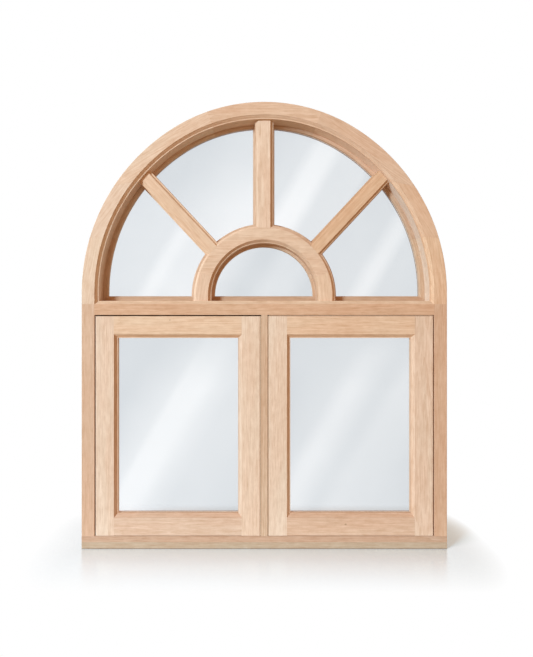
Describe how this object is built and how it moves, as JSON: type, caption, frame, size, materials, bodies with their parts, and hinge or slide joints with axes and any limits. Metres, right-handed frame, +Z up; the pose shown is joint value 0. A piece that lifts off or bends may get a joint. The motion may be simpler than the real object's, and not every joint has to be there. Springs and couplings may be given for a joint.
{
  "type": "arched casement window",
  "caption": "Pale timber window with a round-headed frame, a sunburst fanlight over a transom, and paired glazed casements beside a mullion, standing on its own sill.",
  "frame": {"origin": "middle of the sill's underside: centre of the width and of the depth", "axes": "+Z up, +X to the right seen from the front, the front face towards -Y"},
  "size_m": [1.2, 0.115, 1.4688],
  "materials": {
    "frame_timber": "bare, sanded",
    "head_timber": "bare, sanded",
    "sill_timber": "bare, sanded",
    "sash_timber": "bare, sanded",
    "bar_timber": "bare, sanded",
    "bead_timber": "bare, sanded",
    "glass": "clear float"
  },
  "bodies": {
    "root": {"bar_centre": "bar_timber", "bar_left": "bar_timber", "bar_right": "bar_timber", "fan_beads_hub": "bead_timber", "fan_beads_inner_left": "bead_timber", "fan_beads_inner_right": "bead_timber", "fan_beads_outer_left": "bead_timber", "fan_beads_outer_right": "bead_timber", "fan_pane_hub": "glass", "fan_pane_inner_left": "glass", "fan_pane_inner_right": "glass", "fan_pane_outer_left": "glass", "fan_pane_outer_right": "glass", "head_crown": "head_timber", "head_foot_left": "head_timber", "head_foot_right": "head_timber", "head_haunch_left": "head_timber", "head_haunch_right": "head_timber", "head_shoulder_left": "head_timber", "head_shoulder_right": "head_timber", "hub_crown": "bar_timber", "hub_leg_left": "bar_timber", "hub_leg_right": "bar_timber", "jamb_left": "frame_timber", "jamb_right": "frame_timber", "mullion": "frame_timber", "sash_beads_left": "bead_timber", "sash_beads_right": "bead_timber", "sash_bottom_rail_left": "sash_timber", "sash_bottom_rail_right": "sash_timber", "sash_meeting_stile_left": "sash_timber", "sash_meeting_stile_right": "sash_timber", "sash_outer_stile_left": "sash_timber", "sash_outer_stile_right": "sash_timber", "sash_pane_left": "glass", "sash_pane_right": "glass", "sash_top_rail_left": "sash_timber", "sash_top_rail_right": "sash_timber", "sill": "sill_timber", "transom": "frame_timber"}
  },
  "joints": []
}
